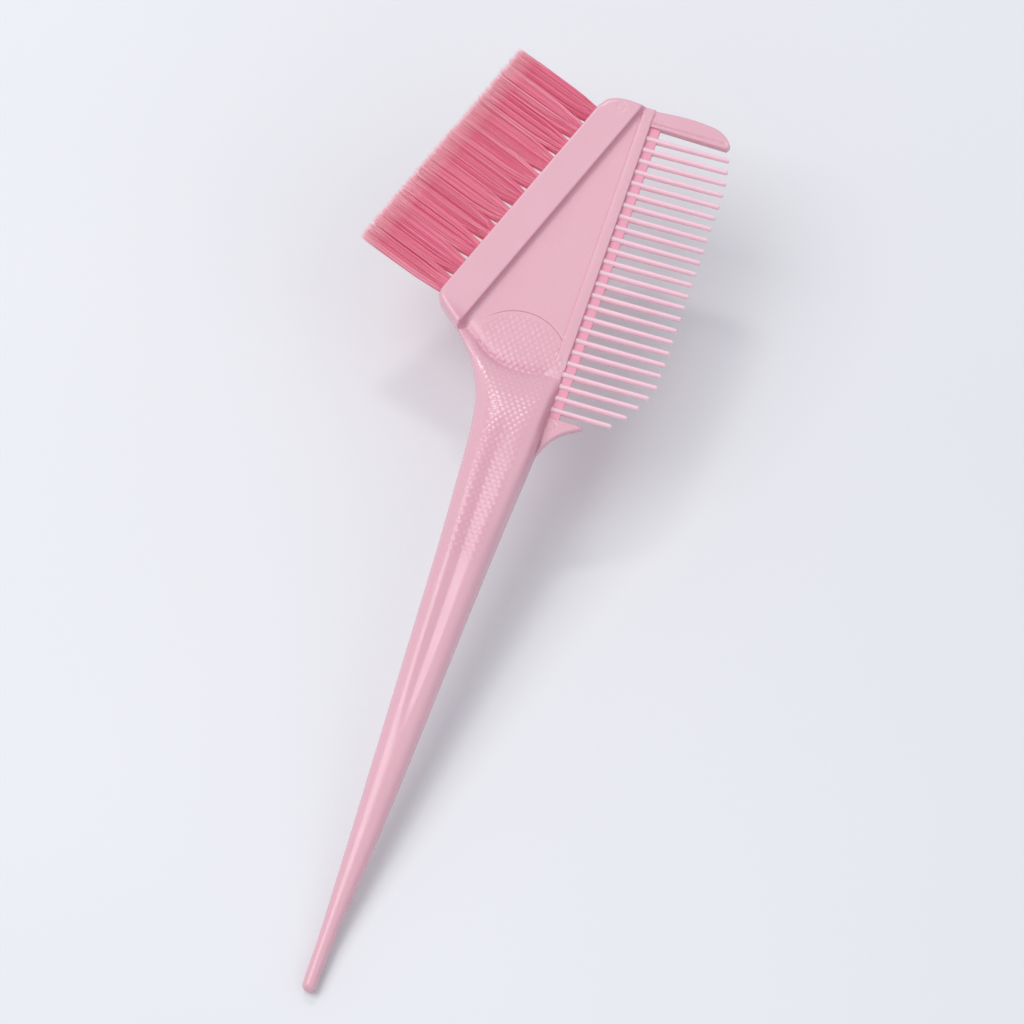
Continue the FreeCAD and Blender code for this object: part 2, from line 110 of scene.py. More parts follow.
XL = [(0, 51.2), (1, 51.10), (12, 50.95), (24, 50.50), (36, 50.02), (50, 49.40), (64, 48.80), (78, 48.18), (92, 47.58),
      (106, 46.88), (118, 46.10), (123, 45.80), (128, 45.38), (131.5, 44.98), (134.6, 44.45), (137.2, 43.75),
      (139.5, 42.95), (141.6, 42.0), (143.5, 41.0), (145.3, 39.85), (146.9, 38.55), (148.45, 37.2),
      (149.95, 35.75), (151.35, 34.3), (160, 23)]
XR = [(0, 54.0), (1, 54.05), (12, 54.35), (24, 55.25), (36, 56.07), (50, 56.80), (64, 57.45), (78, 58.03), (92, 58.65),
      (106, 59.35), (118, 60.05), (126, 60.55), (136, 60.8), (160, 60.8)]
TOP = [(0, 2.9), (1, 2.95), (12, 3.42), (24, 4.08), (36, 4.72), (50, 5.45), (64, 6.12), (78, 6.74), (92, 7.40),
       (106, 8.10), (115, 8.5), (120, 8.66), (124, 8.70), (128, 8.6), (132, 8.24), (135, 7.78), (138, 7.14),
       (140.5, 6.42), (142.5, 5.65), (144.2, 4.8), (145.6, 3.8), (147, 2.4), (150, 0.2)]
SIDE = [(0, 1.25), (1, 1.3), (24, 1.75), (50, 2.3), (100, 3.3), (130, 3.7), (147, 3.6), (160, 3.5)]
LOW = [(0, 0), (135, 0), (138, 0.06), (140, 0.22), (142, 0.5), (144.5, 1.2), (147, 2.15), (150, 3.4)]
CREASE = [(30, 153.5), (36, 151.4), (38.8, 149.6), (41.2, 147.8), (43.3, 146.5), (46.8, 145.3), (49.5, 145.0),
          (51.5, 145.1), (53.7, 145.4), (55.9, 145.9), (58.1, 146.4), (61, 147.0)]
GUARD = 211.0
HORN = 137.42
SPINE = 60.7
ROOT = 63.2


# ------------------------------------------------------------------ plan outline
def spline_pts(pts, step):
    """Points about step apart on a smooth curve through pts."""
    p = np.array(pts, float)
    q = np.vstack((2 * p[0] - p[1], p, 2 * p[-1] - p[-2]))
    out = []
    for i in range(1, len(q) - 2):
        a, b, c, d = q[i - 1], q[i], q[i + 1], q[i + 2]
        n = max(1, int(round(np.linalg.norm(c - b) / step)))
        for k in range(n):
            t = k / n
            out.append(0.5 * (2 * b + (c - a) * t + (2 * a - 5 * b + 4 * c - d) * t * t + (3 * b - a - 3 * c + d) * t ** 3))
    out.append(p[-1])
    return out


def line_pts(a, b, step):
    a, b = np.array(a, float), np.array(b, float)
    n = max(1, int(math.ceil(np.linalg.norm(b - a) / step)))
    return [a + (b - a) * k / n for k in range(n + 1)]


M_LOW, M_TOP = along(-0.7, 0), along(57.7, 0)


def outline():
    """Closed outline, anticlockwise from above, with the index span of the mouth."""
    pts = []

    def add(seq):
        for p in seq:
            if not pts or np.linalg.norm(np.array(p) - pts[-1]) > 0.05:
                pts.append(np.array(p, float))

    ys = np.arange(1.6, 125.5, 0.8)
    add(spline_pts([(52.6, 0.15), (53.1, 0.24), (53.6, 0.52), (53.93, 1.0), (54.04, 1.6)], 0.25))
    add(list(zip(curve(ys, XR), ys)))
    add(spline_pts([(60.52, 125.9), (60.85, 127.8), (61.5, 129.7), (62.35, 131.5), (63.3, 132.9), (64.6, 134.3),
                    (66.3, 135.55), (67.6, 136.3), (68.45, 136.8), (68.7, 137.12), (68.5, 137.38), (68.1, HORN)], 0.35))
    add(line_pts((68.1, HORN), (ROOT, HORN), 0.5))
    add(line_pts((ROOT, HORN), (ROOT, GUARD), 0.5))
    add(line_pts((ROOT, GUARD), (78.9, GUARD), 0.5))
    add(spline_pts([(78.9, GUARD), (79.32, 211.72), (79.38, 212.05), (78.7, 213.0), (77.6, 214.05), (75.95, 214.95),
                    (74.2, 215.35), (72.0, 215.55), (69.9, 215.65), (67.0, 215.6), (64.3, 215.38), (62.2, 215.17),
                    (60.1, 215.03), (57.3, 215.03), (56.0, 215.15), (54.4, 215.2), (52.9, 215.12), (51.5, 214.85),
                    (50.4, 214.4), (49.5, 213.85), (48.9, 213.2), tuple(M_TOP)], 0.4))
    i0 = len(pts) - 1
    add(line_pts(M_TOP, M_LOW, 0.5))
    i1 = len(pts) - 1
    add(spline_pts([tuple(M_LOW), (28.5, 156.9), (28.8, 156.2), (29.4, 155.4), (30.5, 154.43), (31.8, 153.38),
                    (33.3, 152.2), (34.6, 151.08), (35.9, 149.86), (37.2, 148.45), (38.4, 147.05), (39.5, 145.72),
                    (40.5, 144.3), (41.3, 142.95), (42.0, 141.6), (42.95, 139.5), (43.75, 137.2), (44.45, 134.6)], 0.4))
    ys = np.arange(133.9, 1.5, -0.8)
    add(list(zip(curve(ys, XL), ys)))
    add(spline_pts([(51.1, 1.6), (51.2, 1.0), (51.55, 0.52), (52.1, 0.24), (52.6, 0.15)], 0.25)[:-1])
    return np.array(pts), i0, i1


OUT, MI0, MI1 = outline()


def seg_dist(p, poly, closed=True):
    """Distance from points to a polyline."""
    a = poly
    b = np.roll(poly, -1, 0)
    if not closed:
        a, b = a[:-1], b[:-1]
    best = np.full(len(p), 1e9)
    for s in range(0, len(p), 4000):
        q = p[s:s + 4000]
        ab = b - a
        ap = q[:, None, :] - a[None]
        t = np.clip((ap * ab).sum(2) / (ab * ab).sum(1), 0, 1)
        d = np.linalg.norm(ap - t[..., None] * ab, axis=2)
        best[s:s + 4000] = d.min(1)
    return best


def inside(p, poly):
    x, y = p[:, 0], p[:, 1]
    c = np.zeros(len(p), bool)
    a = poly
    b = np.roll(poly, -1, 0)
    for (x0, y0), (x1, y1) in zip(a, b):
        hit = (y0 > y) != (y1 > y)
        if hit.any():
            c ^= hit & (x < (x1 - x0) * (y - y0) / (y1 - y0 + 1e-30) + x0)
    return c


# ---------------------------------------------------------------- surface heights
PADC, PADR = np.array((49.2, 147.45)), 11.8
ENDS = np.vstack((OUT[MI1:], OUT[:MI0 + 1]))


def band_d(p):
    rel = p - M0
    s, t = rel @ U, rel @ N
    return 8.2 - 0.003 * s + t


def edge(top, d, r, slope):
    """A plateau with a rounded edge; outside the edge it falls away."""
    return top - drop(np.maximum(d, 0), r) + slope * np.minimum(d, 0)


def band_z(p, d_o):
    """Ferrule bar: crisp along the mouth and the step, well rounded at its two ends."""
    d = np.minimum(d_o, band_d(p))
    return edge(6.4, d, 0.45, 2.6) - drop(seg_dist(p, ENDS, False), 1.15)


def ridge_z(p, d_o):
    x, y = p[:, 0], p[:, 1]
    d = np.minimum(np.minimum(x - (SPINE - 2.6), SPINE - x), d_o)
    return edge(4.86, d, 0.24, 6.0) - 0.16 * np.maximum(152.5 - y, 0) ** 1.35


def web_z(p, d_o):
    x, y = p[:, 0], p[:, 1]
    spill = np.where(y > GUARD - 0.02, 0, np.maximum(x - SPINE, 0))
    # a bead runs along the guard's lower edge, like one more tooth
    bead = 0.3 * np.exp(-((y - 211.95 - 0.02 * (x - ROOT)) / 0.2) ** 2) * sstep(SPINE, SPINE + 0.6, x) * sstep(79.0, 77.6, x)
    return 4.4 - drop(d_o, 0.5) - 0.28 * np.maximum(146 - y, 0) ** 1.1 - 8 * spill - bead


def ring_groove(p, c, r, depth):
    e = np.linalg.norm(p - np.array(c), axis=1)
    return depth * np.exp(-((e - r) / 0.085) ** 2)


def dots(p):
    """Raised rounded grains in offset rows, of uneven height."""
    x, y = p[:, 0] - 52.9, p[:, 1]
    best = np.zeros(len(p))
    a, b = 1.46, 1.02
    j0 = np.round(y / b)
    for dj in (-1, 0, 1):
        j = j0 + dj
        off = np.where(np.mod(j, 2) == 0, 0.0, a / 2)
        i = np.round((x - off) / a)
        du, dv = np.abs(x - off - i * a), np.abs(y - j * b)
        q = np.clip(1 - (du / 0.60) ** 2 - (dv / 0.56) ** 2, 0, 1)
        uneven = np.mod(np.sin(i * 12.9898 + j * 78.233) * 43758.5453, 1)
        best = np.maximum(best, q * q * (3 - 2 * q) * (0.5 + 0.6 * uneven))
    return best


def dot_mask(p):
    x, y = p[:, 0], p[:, 1]
    r = np.linalg.norm(p - PADC, axis=1)
    left = curve(y, XL)
    m_pad = sstep(11.3, 10.4, r) * sstep(1.2, 2.4, x - left) * sstep(142.5, 145.5, y)
    lo = curve(y, [(90, 50.3), (103, 49.7), (115, 49.1), (128, 48.0), (138, 45.9), (146, 41.8), (160, 35)])
    hi = curve(y, [(90, 56.6), (103, 57.0), (115, 57.4), (128, 58.0), (138, 58.8), (146, 59.6), (160, 60)])
    m_grip = sstep(-0.1, 0.6, x - lo) * sstep(-0.1, 0.6, hi - x) * sstep(96.5, 102, y) * sstep(149, 146, y)
    return np.maximum(m_pad, m_grip)


def top_z(p, d_o):
    x, y = p[:, 0], p[:, 1]
    xl, xr = curve(y, XL), curve(y, XR)
    xc, hw = (xl + xr) / 2, (xr - xl) / 2
    c = (x - xc) / hw
    ye = y - (curve(x, CREASE) - 145.2) * sstep(128, 141, y)
    top = curve(ye, TOP)
    side = curve(y, SIDE)
    p_ = 2.15 + 0.5 * sstep(30, 110, y) + sstep(-0.1, 0.4, c) * 1.6 * sstep(98, 128, y)
    ac = np.clip(np.abs(c), 0, 1)
    dome = (1 - ac ** p_) ** (1 / p_)
    cap = np.sqrt(np.clip(1 - np.clip(1 - (y - 0.1) / 1.5, 0, 1) ** 2, 0, 1))
    grip = side + (top - side) * dome * cap
    # shallow channel down the front: its left wall is the steeper one
    cl = curve(y, [(60, -0.34), (67, -0.40), (90, -0.48), (118, -0.62), (130, -0.68), (140, -0.7)])
    cr = curve(y, [(60, 0.42), (90, 0.50), (118, 0.58), (130, 0.62), (140, 0.64)])
    f = np.clip((c - cl) / (cr - cl), 0, 1)
    depth = 0.5 * sstep(52, 84, y) * sstep(138, 118, y)
    grip = grip - depth * sstep(0, 0.5, f) * (1 - sstep(0.4, 1.0, f)) * 1.15
    grip = grip - 9.0 * np.maximum(np.abs(c) - 1, 0) * hw
    # slanted flank beside the comb, under a sharp shoulder
    flank = side + 0.15 + 3.3 * np.maximum(xr - x, 0) + 14 * (1 - sstep(116, 135, y)) + 2 * sstep(141, 147, y)
    grip = np.where(x > xr, grip, -smax(-grip, -flank, 0.9))
    # web, and the thumb pad dished down towards the crease, deepest on its left
    web = web_z(p, d_o)
    q = np.clip((159.2 - ye) / 14.0, 0, 1.15)
    left = sstep(56, 41, x)
    padz = 4.42 - 0.15 * q ** 1.6
    padz = padz - drop(d_o, 0.4) - 0.28 * np.maximum(144 - y, 0) ** 1.1 - 8 * np.maximum(x - SPINE, 0)
    rel = p - PADC
    r = np.linalg.norm(rel, axis=1)
    turn = np.degrees(np.arctan2(rel[:, 1], rel[:, 0]))
    turn = np.where(turn < -90, turn + 360, turn)
    w = 1.8 + 1.6 * sstep(96, 158, turn)
    s = sstep(PADR + 0.1, PADR - w, r)
    base = web * (1 - s) + padz * s
    line = np.exp(-((r - PADR) / 0.075) ** 2) * sstep(150, 112, turn) * sstep(-14, -4, turn)
    base = base - 0.26 * line * (x < SPINE - 2.4)
    dip = (0.5 + 0.5 * left) * np.exp(-(np.maximum(ye - 144.9, 0) / 2.0) ** 2) * sstep(59.5, 56.5, x)
    base = base - dip * sstep(0.2, 1.6, d_o)
    head = smax(base, ridge_z(p, d_o), 0.12)
    head = smax(head, band_z(p, d_o), 0.6)
    z = smax(head, grip, 0.4)
    rootz = np.where((x > SPINE - 1.0) & (y < GUARD + 0.02), 3.8 - drop(d_o, 0.3), -5)
    z = smax(z, rootz, 0.15)
    hornz = np.where((x > 58.5) & (y < HORN + 2), edge(4.3, np.minimum(d_o, HORN - y), 0.45, 9.0), -5)
    z = np.where(hornz > -4, smax(z, hornz, 0.2), z)
    z = z + 0.062 * dots(p) * dot_mask(p)
    z = z - ring_groove(p, (53.2, 212.8), 0.92, 0.08) - ring_groove(p, (61.95, 135.45), 0.95, 0.1)
    return z


def low_z(p, d_o):
    """Underside: the head mirrors the front about its mid-plane, the handle is flat."""
    x, y = p[:, 0], p[:, 1]
    xl, xr = curve(y, XL), curve(y, XR)
    rb = np.minimum(1.3, 0.36 * curve(y, TOP) + 0.02)
    e = np.minimum(x - xl, xr - x)
    e = np.minimum(e, np.maximum(y - 0.1, 0))
    grip = curve(y, LOW) + drop(np.maximum(e, 0), rb) - 9 * np.minimum(e, 0)
    head = smax(smax(web_z(p, d_o), ridge_z(p, d_o), 0.12), band_z(p, d_o), 0.6)
    rootz = np.where((x > SPINE - 1.0) & (y < GUARD + 0.02), 3.8 - drop(d_o, 0.3), -5)
    head = smax(head, rootz, 0.15)
    hornz = np.where((x > 58.5) & (y < HORN + 2), edge(4.3, np.minimum(d_o, HORN - y), 0.45, 9.0), -5)
    head = np.where(hornz > -4, smax(head, hornz, 0.2), head)
    return -smax(-(2 * MID - head), -grip, 0.8)


# ---------------------------------------------------------------- plan sampling
def thin(new, old, gap):
    """Keeps those of new at least gap from old and from each other, roughly."""
    keep = []
    cells = {}
    for q in old:
        cells.setdefault((int(q[0] // gap), int(q[1] // gap)), []).append(q)
    for q in new:
        i, j = int(q[0] // gap), int(q[1] // gap)
        near = False
        for a in (i - 1, i, i + 1):
            for b in (j - 1, j, j + 1):
                for o in cells.get((a, b), ()):
                    if (o[0] - q[0]) ** 2 + (o[1] - q[1]) ** 2 < gap * gap:
                        near = True
                        break
                if near:
                    break
            if near:
                break
        if not near:
            keep.append(q)
            cells.setdefault((i, j), []).append(q)
    return keep


def hexgrid(x0, x1, y0, y1, s):
    ys = np.arange(y0, y1, s * 0.866)
    out = []
    for j, y in enumerate(ys):
        xs = np.arange(x0 + (s / 2 if j % 2 else 0), x1, s)
        out.append(np.stack((xs, np.full(len(xs), y)), 1))
    return np.vstack(out)


def offset_rings(offs):
    a = np.roll(OUT, 1, 0)
    b = np.roll(OUT, -1, 0)
    t = b - a
    t /= np.linalg.norm(t, axis=1)[:, None]
    n = np.stack((-t[:, 1], t[:, 0]), 1)
    rings = []
    for d in offs:
        q = OUT + n * d
        ok = inside(q, OUT)
        q = q[ok]
        q = q[seg_dist(q, OUT) > d * 0.93]
        rings.append((q, d))
    return rings


def plan_points(fine):
    pts = []
    for q, d in offset_rings([0.03, 0.09, 0.18, 0.3, 0.45, 0.7, 1.0, 1.4, 1.9]):
        pts += thin(q, [], max(0.03, min(0.3, d * 0.8)))
    ring_tree = list(pts) + list(OUT)
    feat = []
    for o in (-0.6, -0.45, -0.34, -0.22, -0.1, -0.02, 0.06, 0.15, 0.28, 0.45, 0.7):
        s = np.arange(-3, 62, 0.6)
        w = 8.2 - 0.003 * s
        q = M0 + s[:, None] * U + (-(w - o))[:, None] * N
        feat.append(q)
    ys = np.arange(140, 214, 0.6)
    for x in (57.9, 58.02, 58.1, 58.2, 58.35, 60.45, 60.55, 60.64, 60.7, 60.76, 60.85, 61.0):
        feat.append(np.stack((np.full(len(ys), x), ys), 1))
    xs = np.arange(57, 64, 0.5)
    for y in (210.8, 210.92, 211.0, 211.1, 211.25):
        feat.append(np.stack((xs, np.full(len(xs), y)), 1))
    xs = np.arange(60.4, 64, 0.4)
    for y in (137.2, 137.34, 137.42, 137.5, 137.62):
        feat.append(np.stack((xs, np.full(len(xs), y)), 1))
    ys = np.arange(124, 141, 0.5)
    for o in (-0.5, -0.3, -0.15, -0.05, 0.03, 0.12, 0.3):
        feat.append(np.stack((curve(ys, XR) + o, ys), 1))
    xs = np.arange(60.8, 79, 0.5)
    for o in (-0.36, -0.2, -0.1, 0.0, 0.1, 0.2, 0.36):
        feat.append(np.stack((xs, 211.95 + 0.02 * (xs - ROOT) + o), 1))
    if fine:
        a = np.radians(np.arange(-12, 192, 2.2))
        for r in (11.6, 11.67, 11.74, 11.8, 11.86, 11.93, 12.0, 12.15):
            feat.append(PADC + r * np.stack((np.cos(a), np.sin(a)), 1))
        a = np.radians(np.arange(0, 360, 12))
        for c, rr in (((53.2, 212.8), 0.92), ((61.95, 135.45), 0.95)):
            for r in (rr - 0.22, rr - 0.13, rr - 0.05, rr + 0.02, rr + 0.1, rr + 0.2):
                feat.append(np.array(c) + r * np.stack((np.cos(a), np.sin(a)), 1))
    feat = np.vstack(feat)
    feat = feat[inside(feat, OUT)]
    feat = feat[seg_dist(feat, OUT) > 0.06]
    pts = thin(feat, ring_tree, 0.055)
    pts = ring_tree[:len(ring_tree) - len(OUT)] + pts
    guard_pts = list(pts) + list(OUT)
    grids = []
    if fine:
        g = hexgrid(40, 61, 96, 160, 0.235)
        g = g[dot_mask(g) > 0.01]
        grids.append((g, 0.15))
    g = hexgrid(44, 62, 120, 152, 0.45)
    grids.append((g, 0.28))
    grids.append((hexgrid(34, 64, 136, 162, 0.6), 0.4))
    grids.append((hexgrid(50, 56, 0.5, 126, 0.5), 0.32))
    grids.append((hexgrid(45, 62, 20, 138, 0.6), 0.38))
    grids.append((hexgrid(26, 80, 138, 217, 1.0), 0.6))
    allp = guard_pts
    new_all = []
    for g, gap in grids:
        g = g[inside(g, OUT)]
        g = g[seg_dist(g, OUT) > 0.1]
        k = thin(g, allp, gap)
        new_all += k
        allp = allp + k
    return np.array(pts + new_all)


def triangulate(extra):
    verts = [Vector(p) for p in OUT] + [Vector(p) for p in extra]
    n = len(OUT)
    edges = [(i, (i + 1) % n) for i in range(n)]
    v, e, f, ov, oe, of = delaunay_2d_cdt(verts, edges, [], 1, 1e-6)
    back = np.full(len(v), -1)
    for i, o in enumerate(ov):
        if o:
            back[i] = min(o)
    co = np.array([tuple(p) for p in v])
    return co, f, back


def cap_surface(fine, height):
    co, faces, back = triangulate(plan_points(fine))
    d = seg_dist(co, OUT)
    on = (back >= 0) & (back < len(OUT))
    d[on] = 0
    z = height(co, d)
    where = {int(back[i]): i for i in range(len(co)) if on[i]}
    return co, z, [tuple(t) for t in faces], where


def mesh_from(name, verts, faces, smooth=True, sharp=None):
    me = bpy.data.meshes.new(name)
    me.from_pydata([tuple(v) for v in verts], [], [tuple(f) for f in faces])
    me.update()
    me.polygons.foreach_set("use_smooth", np.full(len(me.polygons), smooth))
    if sharp:
        me.set_sharp_from_angle(angle=math.radians(sharp))
    ob = bpy.data.objects.new(name, me)
    bpy.context.scene.collection.objects.link(ob)
    return ob


TUFTS = 11
TUFT_S = [1.95 + 5.3 * k for k in range(TUFTS)]
HOLE_R = 2.12


def build_moulding():
    tco, tz, tf, tw = cap_surface(True, top_z)
    bco, bz, bf, bw = cap_surface(False, low_z)
    verts = [(a[0], a[1], z) for a, z in zip(tco, tz)]
    faces = list(tf)
    off = len(verts)
    verts += [(a[0], a[1], z) for a, z in zip(bco, bz)]
    faces += [(a + off, c + off, b + off) for a, b, c in bf]
    n = len(OUT)
    steps = 3
    cols = []
    for i in range(n):
        ti, bi = tw[i], bw[i] + off
        zt, zb = verts[ti][2], verts[bi][2]
        col = [ti]
        if not MI0 < i < MI1:
            for k in range(1, steps):
                q = k / steps
                col.append(len(verts))
                verts.append((OUT[i][0], OUT[i][1], zt + (zb - zt) * q))
        col.append(bi)
        cols.append(col)
    for i in range(n):
        j = (i + 1) % n
        if MI0 <= i < MI1:
            continue
        a, b = cols[i], cols[j]
        for k in range(steps):
            faces.append((a[k], a[k + 1], b[k + 1], b[k]))
    # mouth face, with a round hole for each tuft
    loop = [cols[i][0] for i in range(MI0, MI1 + 1)]
    loop += cols[MI1][1:-1]
    loop += [cols[i][-1] for i in range(MI1, MI0 - 1, -1)]
    loop += list(reversed(cols[MI0][1:-1]))
    flat = []
    for i in loop:
        p = np.array(verts[i])
        flat.append(((p[:2] - M0) @ U, p[2]))
    pts = [Vector(q) for q in flat]
    m = len(pts)
    edges = [(i, (i + 1) % m) for i in range(m)]
    seg = 40
    for s in TUFT_S:
        base = len(pts)
        for k in range(seg):
            a = 2 * math.pi * k / seg
            pts.append(Vector((s + HOLE_R * math.cos(a), MID + HOLE_R * math.sin(a))))
        edges += [(base + k, base + (k + 1) % seg) for k in range(seg)]
    v, e, f, ov, oe, of = delaunay_2d_cdt(pts, edges, [], 1, 1e-7)
    index = []
    for i, p in enumerate(v):
        src = min(ov[i]) if ov[i] else -1
        if 0 <= src < m:
            index.append(loop[src])
        else:
            q = M0 + U * p[0]
            index.append(len(verts))
            verts.append((q[0], q[1], p[1]))
    ring = {}
    group = []
    for i, p in enumerate(v):
        src = min(ov[i]) if ov[i] else -1
        group.append((src - m) // seg if src >= m else -1)
        if src >= m:
            ring[src - m] = index[i]
    for tri in f:
        if group[tri[0]] >= 0 and len({group[i] for i in tri}) == 1:
            continue
        a, b, c_ = (np.array(verts[index[i]]) for i in tri[:3])
        nrm = np.cross(b - a, c_ - a)
        t = [index[i] for i in tri]
        faces.append(tuple(t) if nrm @ np.array((N[0], N[1], 0)) > 0 else tuple(reversed(t)))
    for h, s in enumerate(TUFT_S):
        prev = [ring[h * seg + k] for k in range(seg)]
        for depth in (-2.0, -4.0, -6.0):
            cur = []
            for k in range(seg):
                a = 2 * math.pi * k / seg
                q = along(s + HOLE_R * math.cos(a), depth)
                cur.append(len(verts))
                verts.append((q[0], q[1], MID + HOLE_R * math.sin(a)))
            for k in range(seg):
                l = (k + 1) % seg
                faces.append((prev[k], prev[l], cur[l], cur[k]))
            prev = cur
        q = along(s, -6.0)
        centre = len(verts)
        verts.append((q[0], q[1], MID))
        for k in range(seg):
            faces.append((prev[k], prev[(k + 1) % seg], centre))
    ob = mesh_from("moulding", to_row(verts), faces, True, 42)
    import bmesh
    bm = bmesh.new()
    bm.from_mesh(ob.data)
    bmesh.ops.recalc_face_normals(bm, faces=bm.faces)
    open_edges = sum(1 for e in bm.edges if not e.is_manifold)
    bm.to_mesh(ob.data)
    bm.free()
    ob.data.set_sharp_from_angle(angle=math.radians(42))
    # painted shade: this attribute darkens the pink where shade falls in corners, creases and hollows; on the thin root
    # strip between the teeth it also stands for the thin plastic's deeper colour
    at = ob.data.attributes.new("painted_shade", "FLOAT", "POINT")
    p = np.array(verts)[:, :2]
    shade_paint_map = sstep(SPINE - 0.25, SPINE + 0.25, p[:, 0]) * (p[:, 1] < GUARD) * (p[:, 1] > HORN - 0.2)
    # painted shade along the foot of the ferrule's step
    shade_paint_map = np.maximum(shade_paint_map, sstep(0.35, 0.0, np.abs(band_d(p) + 0.12)) * (p[:, 0] < SPINE - 2.6) * 0.8)
    # painted shade on the steep flank beside the comb
    into = curve(p[:, 1], XR) - p[:, 0]
    shade_paint_map = np.maximum(shade_paint_map, sstep(1.7, 0.4, into) * sstep(114, 130, p[:, 1]) * sstep(149, 145, p[:, 1]) * (into > -0.3) * 0.62)
    # painted shade: the crease under the thumb pad, the front channel and the ground between the grains are darkened in
    # colour where shade falls, less so on the grain tops
    top = np.arange(len(verts)) < off
    xl, xr = curve(p[:, 1], XL), curve(p[:, 1], XR)
    grain = dot_mask(p) * (0.17 - 0.24 * dots(p)) * top
    ye = p[:, 1] - (curve(p[:, 0], CREASE) - 145.2)
    crease_shade_paint = 0.55 * np.exp(-((ye - 146.4) / 1.4) ** 2) * (0.35 + 0.65 * sstep(57, 44, p[:, 0])) * sstep(58.5, 56.5, p[:, 0]) * sstep(0.3, 2.2, p[:, 0] - xl) * top
    f = (p[:, 0] - xl) / np.maximum(xr - xl, 1e-6)
    channel_shade_paint = 0.2 * np.exp(-((f - 0.43) / 0.2) ** 2) * sstep(48, 84, p[:, 1]) * sstep(140, 126, p[:, 1]) * top
    shade_paint_map = np.clip(np.maximum(shade_paint_map, crease_shade_paint + channel_shade_paint + grain), 0, 1)
    at.data.foreach_set("value", shade_paint_map.astype(np.float32))
    print("moulding", len(ob.data.vertices), "verts", len(ob.data.polygons), "faces, open edges", open_edges)
    return ob


# ---------------------------------------------------------------------- comb
TIPS = [20.2, 20.8, 21.3] + [21.5] * 18 + [20.4, 19.0, 17.2, 14.6]


def build_teeth():
    verts, faces = [], []
    seg = 16
    for k, tip in enumerate(TIPS):
        y0 = 208.12 - k * 2.867
        x0, x1 = SPINE - 0.35, 60.0 + tip
        length = x1 - x0
        ts = [0, 0.018, 0.04, 0.07, 0.12, 0.25, 0.4, 0.55, 0.7, 0.82, 0.9]
        stations = [x0 + length * t for t in ts]
        rr = 0.5
        for a in (90, 68, 50, 34, 20, 8):
            stations.append(x1 - rr + rr * math.cos(math.radians(a)))
        sway = RNG.normal(0, 0.05)
        rings = []
        for x in stations:
            f = (x - SPINE) / (tip - 0.7)
            w = 1.3 + (1.0 - 1.3) * f
            t = 2.2 + (1.5 - 2.2) * f
            w += 0.5 * max(0, 1 - (x - SPINE) / 0.7) ** 2 if x > SPINE - 0.5 else 0
            end = x1 - x
            if end < rr:
                g = math.sqrt(max(0, 1 - (1 - end / rr) ** 2))
                w, t = w * max(g, 0.12), t * max(0.35 + 0.65 * g, 0.12)
            ring = []
            for s in range(seg):
                a = 2 * math.pi * s / seg
                e = 2 / 2.2
                cx, cz = math.cos(a), math.sin(a)
                py = math.copysign(abs(cx) ** e, cx) * w / 2
                pz = math.copysign(abs(cz) ** e, cz) * t / 2
                ring.append(len(verts))
                verts.append((x, y0 + (x - 60.3) * 0.0349 + py + sway * f * f, MID + pz))
            rings.append(ring)
        for a, b in zip(rings, rings[1:]):
            for s in range(seg):
                q = (s + 1) % seg
                faces.append((a[s], a[q], b[q], b[s]))
        faces.append(tuple(rings[0][::-1]))
        faces.append(tuple(rings[-1]))
    ob = mesh_from("comb_teeth_form", to_row(verts), faces, True, 60)
    return fix_normals(ob)


def fix_normals(ob):
    import bmesh
    bm = bmesh.new()
    bm.from_mesh(ob.data)
    bmesh.ops.recalc_face_normals(bm, faces=bm.faces)
    bm.to_mesh(ob.data)
    bm.free()
    return ob


# ---------------------------------------------------------------------- bristles
FILAMENTS = 560
LENGTHS = [22.95 + 0.05 * k for k in range(TUFTS)]


